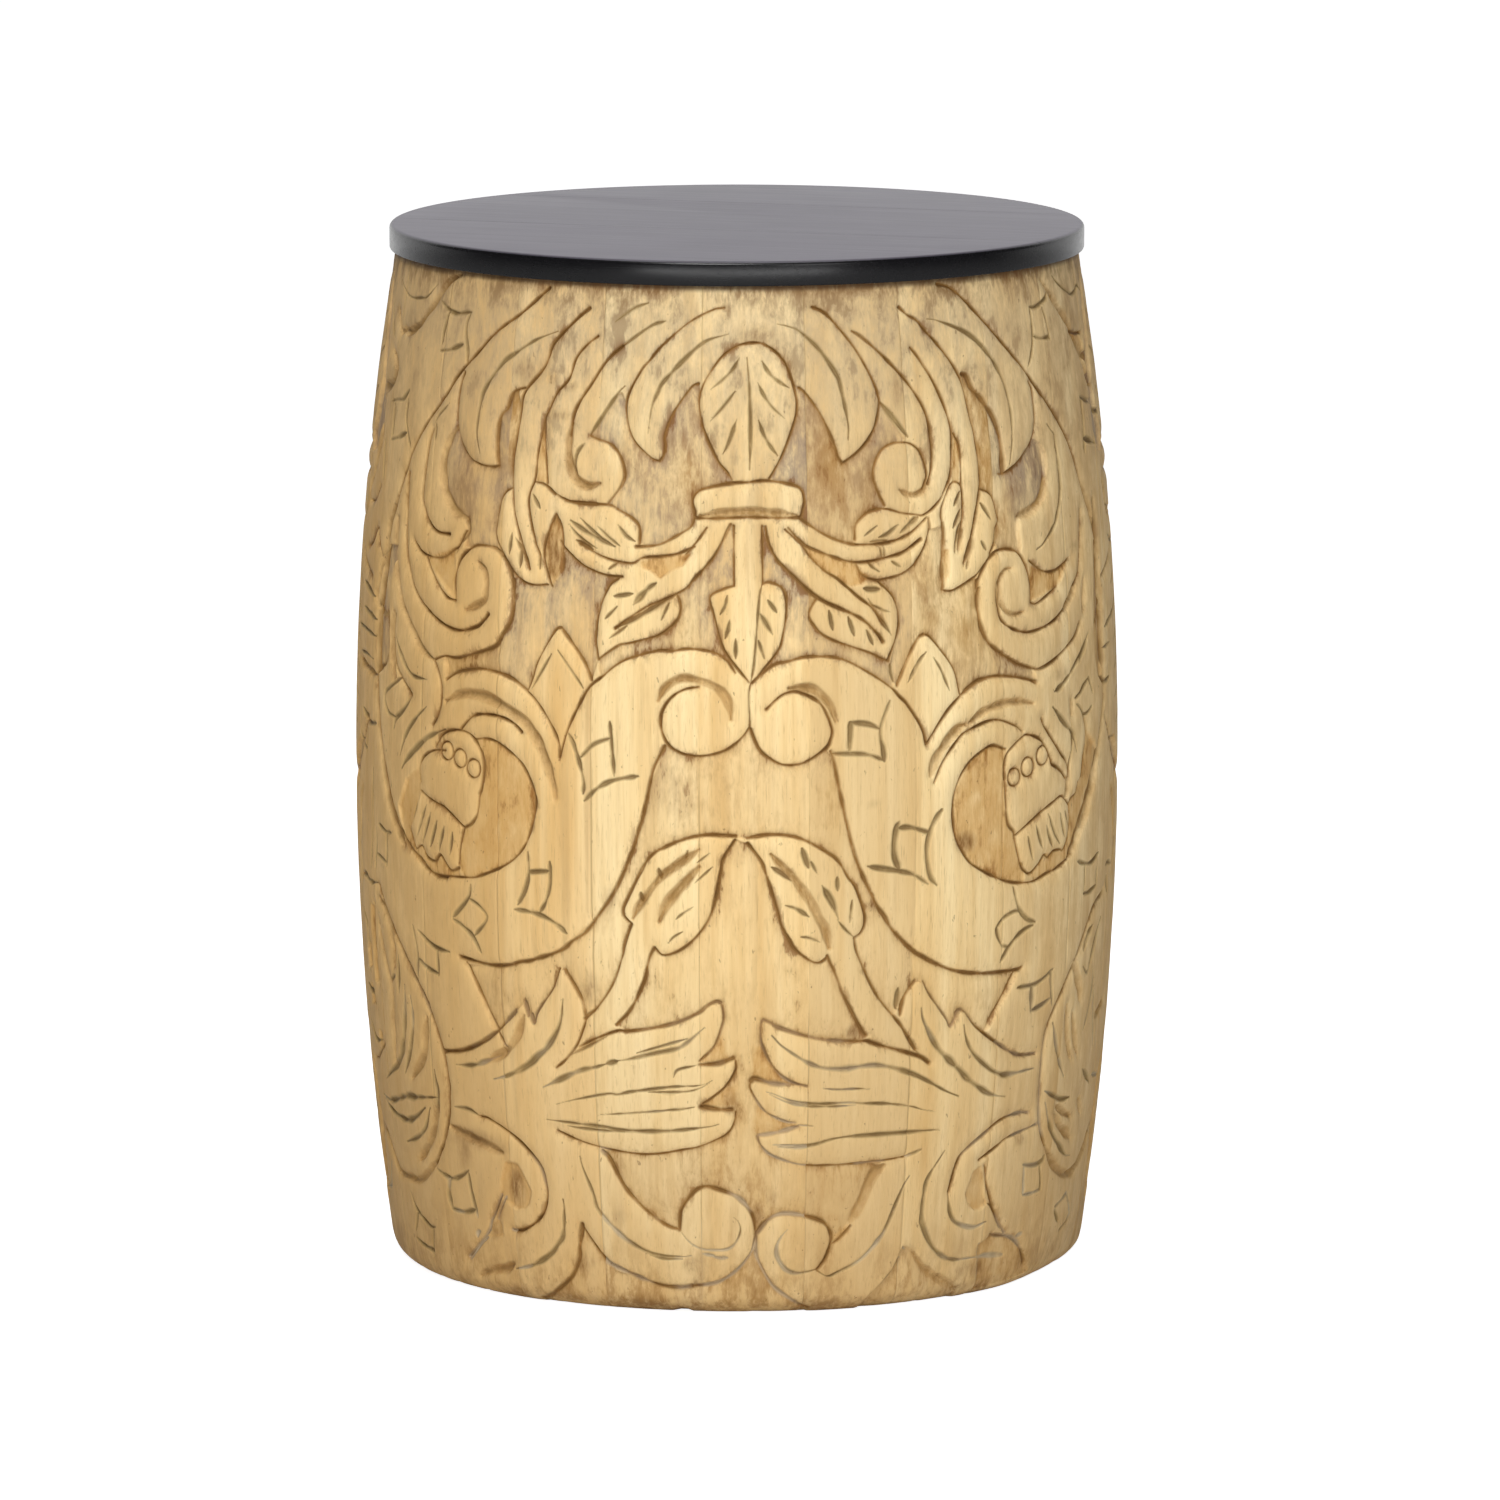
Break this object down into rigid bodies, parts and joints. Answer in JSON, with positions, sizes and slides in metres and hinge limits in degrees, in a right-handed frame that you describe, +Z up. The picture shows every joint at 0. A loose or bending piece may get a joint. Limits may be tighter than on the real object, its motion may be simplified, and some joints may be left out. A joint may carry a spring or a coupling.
{
  "type": "drum side table",
  "caption": "Barrel-shaped side table: a hollow carved wooden drum built of staves, closed by a thin round painted top.",
  "frame": {"origin": "on the floor, at the middle of the foot", "axes": "+Z up the table's axis, -Y towards the front of the picture, +X to its right"},
  "size_m": [0.374, 0.3738, 0.51],
  "materials": {
    "carved_wood": "waxed, matt",
    "black_top": "black paint, satin",
    "ring_wood": "sawn and sanded, unfinished",
    "screw_steel": "zinc plated"
  },
  "bodies": {
    "root": {"stave_01": "carved_wood", "stave_02": "carved_wood", "stave_03": "carved_wood", "stave_04": "carved_wood", "stave_05": "carved_wood", "stave_06": "carved_wood", "stave_07": "carved_wood", "stave_08": "carved_wood", "stave_09": "carved_wood", "stave_10": "carved_wood", "stave_11": "carved_wood", "stave_12": "carved_wood", "stave_13": "carved_wood", "stave_14": "carved_wood", "stave_15": "carved_wood", "stave_16": "carved_wood", "stave_17": "carved_wood", "stave_18": "carved_wood", "stave_19": "carved_wood", "stave_20": "carved_wood", "stave_21": "carved_wood", "stave_22": "carved_wood", "top_board_front": "black_top", "top_board_middle": "black_top", "top_board_back": "black_top", "foot_ring": "ring_wood", "mouth_ring": "ring_wood", "foot_ring_screws": "screw_steel", "mouth_ring_screws": "screw_steel", "top_screws": "screw_steel"}
  },
  "joints": []
}
